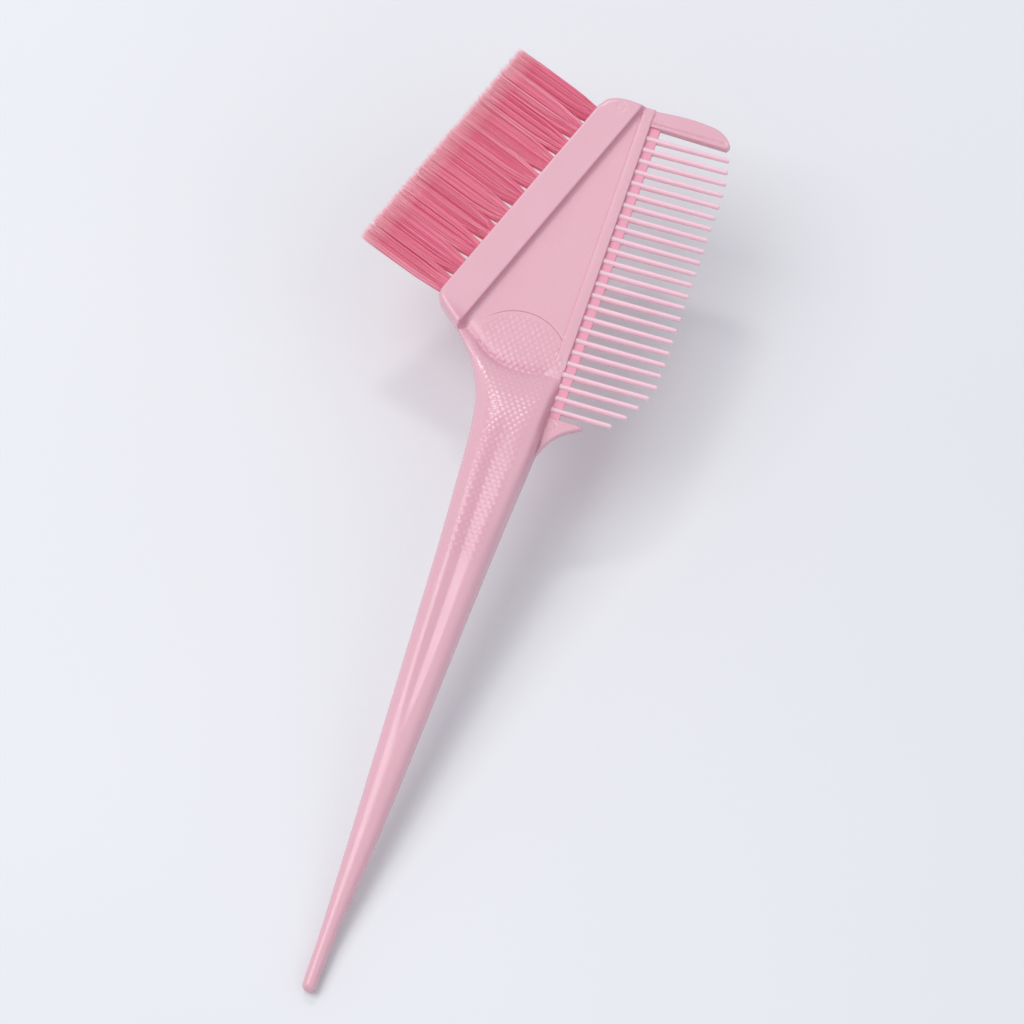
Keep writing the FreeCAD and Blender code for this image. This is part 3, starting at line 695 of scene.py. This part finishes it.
def build_tuft(k):
    s0 = TUFT_S[k]
    n = FILAMENTS
    length = LENGTHS[k]
    i = np.arange(n)
    # even spots in a square, taken to the round hole at the root and to a slab at the tip
    a = 2 * np.mod(0.5 + i * 0.7548776662, 1) - 1 + RNG.normal(0, 0.012, n)
    b = 2 * np.mod(0.5 + i * 0.5698402910, 1) - 1 + RNG.normal(0, 0.012, n)
    a, b = np.clip(a, -1, 1), np.clip(b, -1, 1)
    wide = np.abs(a) > np.abs(b)
    r = np.where(wide, a, b)
    with np.errstate(divide="ignore", invalid="ignore"):
        th = np.where(wide, math.pi / 4 * b / a, math.pi / 2 - math.pi / 4 * a / b)
    th = np.nan_to_num(th)
    ru, rz = 2.03 * r * np.cos(th), 2.03 * r * np.sin(th)
    edge_l = -2.72 if k else -2.3
    edge_r = 2.72 if k < TUFTS - 1 else 2.3
    tu = np.where(a < 0, -a * edge_l, a * edge_r)
    tz = 1.42 * b
    # a few loose strands of filaments lie together, which draws streaks along the tuft
    strands = 12
    cu = np.sort(RNG.uniform(-2.5, 2.5, strands))
    own = np.abs(tu[:, None] + 0.35 * b[:, None] * RNG.uniform(-1, 1) - cu).argmin(1)
    lift = RNG.normal(0, 0.26, strands)
    lean = RNG.normal(0, 0.10, strands)
    pull = RNG.uniform(0.0, 0.5, n) * (np.abs(a) < 0.8)
    tu = tu + (cu[own] - tu) * pull + lean[own] + RNG.normal(0, 0.14, n)
    tz = tz + lift[own] * (0.4 + 0.6 * (b > -0.2)) + RNG.normal(0, 0.06, n)
    tu, tz = np.clip(tu, edge_l - 0.2, edge_r + 0.2), np.clip(tz, -1.7, 1.7)
    ends = length - np.abs(RNG.normal(0, 0.75, n)) + RNG.uniform(-0.1, 0.5, n)
    ends = np.where(RNG.random(n) < 0.05, ends - RNG.uniform(0.5, 2.2, n), ends)
    ends = np.minimum(ends, length + 0.45)
    bow_u, bow_z = RNG.normal(0, 0.05, n), RNG.normal(0, 0.06, n)
    radius = RNG.uniform(0.055, 0.083, n)
    close = RNG.uniform(5.2, 7.6)
    stray = RNG.random(n) < 0.01
    tu = tu + stray * RNG.normal(0, 0.5, n)
    tz = tz + stray * RNG.normal(0, 0.35, n)
    steps = np.array([-5.2, -1.0, 0.0, 0.6, 1.8, 4.0, 7.5, 11.0, 15.0, 20.0, 22.2, 100.0])
    sides = 4
    verts = np.zeros((n, len(steps) * sides, 3))
    tipv = np.zeros((n, len(steps) * sides))
    for j, st in enumerate(steps):
        t = np.minimum(st, ends) if st < 50 else ends
        f = np.clip(t / length, 0, 1)
        if st < 0:
            cu_, cz_ = ru, rz
        else:
            # straight fan out of the hole, then parallel once it meets its neighbours
            q = (t / close) ** 0.75
            spread = np.where(q < 0.8, q, 0.8 + 0.2 * (1 - np.exp(-(q - 0.8) / 0.2)))
            hump = 1 - 0.30 * np.clip(np.abs(a), 0, 1) ** 2.5 * (1 - sstep(8, 22, t)) * spread
            cu_ = ru * (1 - spread) + tu * spread + bow_u * np.sin(np.pi * f)
            cz_ = (rz * (1 - spread) + tz * spread) * hump + bow_z * np.sin(np.pi * f)
        taper = radius * (1 - 0.45 * sstep(0.6, 1.02, f))
        if j == len(steps) - 1:
            taper = taper * 0.3
        for q_ in range(sides):
            ang = math.pi / 2 * q_ + 0.4
            u_ = cu_ + taper * math.cos(ang)
            z_ = cz_ + taper * math.sin(ang)
            pt = M0[None] + (s0 + u_)[:, None] * U + t[:, None] * N
            v = verts[:, j * sides + q_]
            v[:, 0], v[:, 1], v[:, 2] = pt[:, 0], pt[:, 1], MID + z_
            tipv[:, j * sides + q_] = f
    faces = []
    per = len(steps) * sides
    one = []
    for j in range(len(steps) - 1):
        for q_ in range(sides):
            w = (q_ + 1) % sides
            one.append((j * sides + q_, j * sides + w, (j + 1) * sides + w, (j + 1) * sides + q_))
    one.append(tuple(range(sides))[::-1])
    one.append(tuple((len(steps) - 1) * sides + q_ for q_ in range(sides)))
    for m in range(n):
        base = m * per
        faces += [tuple(base + x for x in f) for f in one]
    ob = mesh_from("bristle_tuft_%02d" % (k + 1), to_row(verts.reshape(-1, 3)), faces, True)
    fix_normals(ob)
    tone = RNG.uniform(0, 1, n) * 0.72 + RNG.uniform(0, 1, strands)[own] * 0.28
    at = ob.data.attributes.new("tone", "FLOAT", "POINT")
    at.data.foreach_set("value", np.repeat(tone, per).astype(np.float32))
    at = ob.data.attributes.new("reach", "FLOAT", "POINT")
    at.data.foreach_set("value", tipv.reshape(-1).astype(np.float32))
    return ob


# ---------------------------------------------------------------------- materials
def node_mat(name):
    m = bpy.data.materials.new(name)
    m.use_nodes = True
    nt = m.node_tree
    bsdf = nt.nodes.get("Principled BSDF")
    return m, nt, bsdf


def noise(nt, scale, detail=3, rough=0.5, coord="Object", stretch=None):
    tc = nt.nodes.new("ShaderNodeTexCoord")
    mp = nt.nodes.new("ShaderNodeMapping")
    if stretch:
        mp.inputs["Scale"].default_value = stretch
    nt.links.new(tc.outputs[coord], mp.inputs["Vector"])
    tx = nt.nodes.new("ShaderNodeTexNoise")
    tx.inputs["Scale"].default_value = scale
    tx.inputs["Detail"].default_value = detail
    tx.inputs["Roughness"].default_value = rough
    nt.links.new(mp.outputs["Vector"], tx.inputs["Vector"])
    return tx.outputs["Fac"]


def ramp(nt, fac, stops):
    r = nt.nodes.new("ShaderNodeValToRGB")
    nt.links.new(fac, r.inputs["Fac"])
    el = r.color_ramp.elements
    el[0].position, el[0].color = stops[0][0], (*stops[0][1], 1)
    el[1].position, el[1].color = stops[-1][0], (*stops[-1][1], 1)
    for pos, col in stops[1:-1]:
        e = el.new(pos)
        e.color = (*col, 1)
    return r.outputs["Color"]


def remap(nt, fac, a, b, c, d):
    n = nt.nodes.new("ShaderNodeMapRange")
    nt.links.new(fac, n.inputs["Value"])
    for key, v in (("From Min", a), ("From Max", b), ("To Min", c), ("To Max", d)):
        n.inputs[key].default_value = v
    return n.outputs["Result"]


def mix_value(nt, op, a, b):
    n = nt.nodes.new("ShaderNodeMath")
    n.operation = op
    for i, v in enumerate((a, b)):
        if isinstance(v, (int, float)):
            n.inputs[i].default_value = v
        else:
            nt.links.new(v, n.inputs[i])
    return n.outputs[0]


def plastic(name, light, dark, rough=(0.24, 0.36), sss=0.12, painted_shade=None):
    m, nt, b = node_mat(name)
    flow = noise(nt, 45, 4, 0.55, stretch=(1.0, 0.28, 1.0))
    tint = ramp(nt, flow, [(0.32, dark), (0.52, tuple((x + y) / 2 for x, y in zip(light, dark))), (0.7, light)])
    # painted shade: where the shade attribute is high, the colour turns to a darker, deeper pink that stands in for
    # shade in hollows and corners
    if painted_shade:
        at = nt.nodes.new("ShaderNodeAttribute")
        at.attribute_name = "painted_shade"
        mix = nt.nodes.new("ShaderNodeMix")
        mix.data_type = "RGBA"
        nt.links.new(at.outputs["Fac"], mix.inputs[0])
        nt.links.new(tint, mix.inputs[6])
        nt.links.new(ramp(nt, at.outputs["Fac"], [(0.0, painted_shade[0]), (0.75, painted_shade[0]), (1.0, painted_shade[1])]), mix.inputs[7])
        tint = mix.outputs[2]
    nt.links.new(tint, b.inputs["Base Color"])
    patch = noise(nt, 160, 3, 0.6)
    nt.links.new(remap(nt, patch, 0.3, 0.7, rough[0], rough[1]), b.inputs["Roughness"])
    b.inputs["IOR"].default_value = 1.49
    b.inputs["Subsurface Weight"].default_value = sss
    b.inputs["Subsurface Radius"].default_value = (0.0035, 0.0012, 0.0014)
    b.inputs["Subsurface Scale"].default_value = 1.0
    fine = noise(nt, 2600, 2, 0.5)
    wave = noise(nt, 300, 2, 0.5)
    both = mix_value(nt, "ADD", mix_value(nt, "MULTIPLY", fine, 0.35), wave)
    bump = nt.nodes.new("ShaderNodeBump")
    bump.inputs["Strength"].default_value = 0.12
    bump.inputs["Distance"].default_value = 0.00006
    nt.links.new(both, bump.inputs["Height"])
    nt.links.new(bump.outputs["Normal"], b.inputs["Normal"])
    return m


def bristle_material():
    m, nt, b = node_mat("bristle_nylon")
    at = nt.nodes.new("ShaderNodeAttribute")
    at.attribute_name = "tone"
    rc = nt.nodes.new("ShaderNodeAttribute")
    rc.attribute_name = "reach"
    col = ramp(nt, at.outputs["Fac"], [(0.1, (0.72, 0.09, 0.18)), (0.4, (0.90, 0.185, 0.305)), (0.66, (0.95, 0.25, 0.38)), (0.92, (1.0, 0.44, 0.55))])
    mix = nt.nodes.new("ShaderNodeMix")
    mix.data_type = "RGBA"
    nt.links.new(remap(nt, rc.outputs["Fac"], 0.76, 1.0, 0.0, 0.80), mix.inputs[0])
    nt.links.new(col, mix.inputs[6])
    mix.inputs[7].default_value = (1.0, 0.68, 0.74, 1)
    nt.links.new(mix.outputs[2], b.inputs["Base Color"])
    # painted glow: a faint emission stands in for the light that the clear nylon carries along inside the tuft
    b.inputs["Emission Color"].default_value = (0.95, 0.13, 0.25, 1)
    b.inputs["Emission Strength"].default_value = 0.075
    grain = noise(nt, 900, 2, 0.5)
    nt.links.new(remap(nt, grain, 0.3, 0.7, 0.3, 0.46), b.inputs["Roughness"])
    b.inputs["IOR"].default_value = 1.52
    b.inputs["Subsurface Weight"].default_value = 0.4
    b.inputs["Subsurface Radius"].default_value = (0.0022, 0.0005, 0.0007)
    b.inputs["Subsurface Scale"].default_value = 1.0
    return m


def wire_material():
    m, nt, b = node_mat("anchor_wire")
    b.inputs["Metallic"].default_value = 1.0
    s = noise(nt, 700, 3, 0.6, stretch=(1, 6, 1))
    nt.links.new(ramp(nt, s, [(0.3, (0.55, 0.43, 0.20)), (0.7, (0.80, 0.66, 0.36))]), b.inputs["Base Color"])
    nt.links.new(remap(nt, s, 0.3, 0.7, 0.25, 0.45), b.inputs["Roughness"])
    return m


def floor_material():
    m, nt, b = node_mat("studio_floor")
    s = noise(nt, 3.0, 3, 0.5)
    nt.links.new(ramp(nt, s, [(0.3, (0.765, 0.775, 0.795)), (0.7, (0.795, 0.80, 0.82))]), b.inputs["Base Color"])
    b.inputs["Roughness"].default_value = 0.75
    return m


# ---------------------------------------------------------------------- assembly
# the second pair of colours is painted shade: a darker pink for crease, channel, flank and grain hollows, and a deeper
# pink for the root strip, which is partly the thin plastic's own colour
PINK = plastic("pink_moulded_plastic", (0.765, 0.44, 0.512), (0.735, 0.41, 0.482), rough=(0.17, 0.27), painted_shade=((0.62, 0.26, 0.36), (0.82, 0.36, 0.465)))
# painted highlight: the teeth are coloured lighter than the rest of the same moulding, partly for their thin,
# translucent plastic and partly to stand in for the highlights along their tops
TOOTH = plastic("tooth_plastic", (0.96, 0.62, 0.69), (0.94, 0.585, 0.66), rough=(0.08, 0.15), sss=0.3)
NYLON = bristle_material()
WIRE = wire_material()

moulding = build_moulding()
moulding.data.materials.append(PINK)
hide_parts("handle_body")
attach(moulding, "handle")

teeth = build_teeth()
teeth.data.materials.append(TOOTH)
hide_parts("comb_teeth")
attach(teeth, "handle")

for k in range(TUFTS):
    t = build_tuft(k)
    t.data.materials.append(NYLON)
    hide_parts("bristles_%02d" % (k + 1), "tuft_root_%02d" % (k + 1))
    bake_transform(t)
    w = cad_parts["anchor_%02d" % (k + 1)]
    w.data.materials.clear()
    w.data.materials.append(WIRE)

# ---------------------------------------------------------------------- stage
# The brush leans: its tail touches the pale surface, which falls gently away under the head,
# so its shadow starts at the tail and parts from it towards the head.
def soft(u, k=0.008):
    return k * np.logaddexp(0, u / k)


fy = np.concatenate(([-3, -1.5, -0.7, -0.4], np.arange(-0.26, 0.261, 0.01), [0.4, 0.7, 1.5, 3]))
fz = -0.0002 - 0.215 * (soft(fy + 0.100) - soft(fy - 0.105))
fv = [(x, y, z) for y, z in zip(fy, fz) for x in (-3.0, 3.0)]
ff = [(2 * i, 2 * i + 1, 2 * i + 3, 2 * i + 2) for i in range(len(fy) - 1)]
floor = mesh_from("studio_floor", fv, ff, True)
floor.data.materials.append(floor_material())

# Camera: fitted to the photograph. The head's mid-plane is tilted about 18 degrees from square-on.
F_PX, DIST = 3700.0, 810.41
TAU, PSI, TH = math.radians(18.4), math.radians(0.36), math.radians(18.8)
Y0 = -114.0982
e1 = Vector((math.cos(PSI), math.sin(PSI), 0))
e2 = Vector((-math.sin(PSI) * math.cos(TAU), math.cos(PSI) * math.cos(TAU), -math.sin(TAU)))
xc = e1 * math.cos(TH) - e2 * math.sin(TH)
yc = e1 * math.sin(TH) + e2 * math.cos(TH)
zc = xc.cross(yc)
origin = (Vector((0, 0, -DIST)) - xc * (60 - OX) + yc * (Y0 + OY) - zc * MID) / 1000
m = Matrix((
    (xc[0], yc[0], zc[0], origin[0]),
    (xc[1], yc[1], zc[1], origin[1]),
    (xc[2], yc[2], zc[2], origin[2]),
    (0, 0, 0, 1),
))
cam_data = bpy.data.cameras.new("photo_camera")
cam_data.lens = F_PX / 1024 * 36
cam_data.sensor_width = 36
cam_data.clip_start, cam_data.clip_end = 0.05, 20
cam = bpy.data.objects.new("photo_camera", cam_data)
bpy.context.scene.collection.objects.link(cam)
cam.matrix_world = m.inverted()
bpy.context.scene.camera = cam
camrot = cam.matrix_world.to_3x3()


def lamp(name, where, size, power, color=(1, 1, 1), target=(0, 0.02, 0)):
    """where: direction from the object in camera axes (right, up, towards the camera), in metres."""
    data = bpy.data.lights.new(name, "AREA")
    data.shape = "RECTANGLE"
    data.size, data.size_y = size
    data.energy = power
    data.color = color
    ob = bpy.data.objects.new(name, data)
    bpy.context.scene.collection.objects.link(ob)
    ob.location = Vector(target) + camrot @ Vector(where)
    ob.rotation_mode = "QUATERNION"
    ob.rotation_quaternion = (Vector(target) - ob.location).to_track_quat("-Z", "Y")
    return ob


lamp("key_left", (-0.55, 0.5, 1.05), (0.8, 0.8), 7.7)
lamp("fill_right", (0.75, 0.1, 1.0), (1.0, 1.0), 1.5)
lamp("top_glint", (-0.11, 1.0, 0.62), (0.2, 0.1), 1.7)

world = bpy.data.worlds.new("studio_world")
bpy.context.scene.world = world
world.use_nodes = True
bg = world.node_tree.nodes["Background"]
bg.inputs["Color"].default_value = (0.86, 0.89, 0.95, 1)
bg.inputs["Strength"].default_value = 0.61
bpy.context.scene.view_settings.view_transform = "Standard"
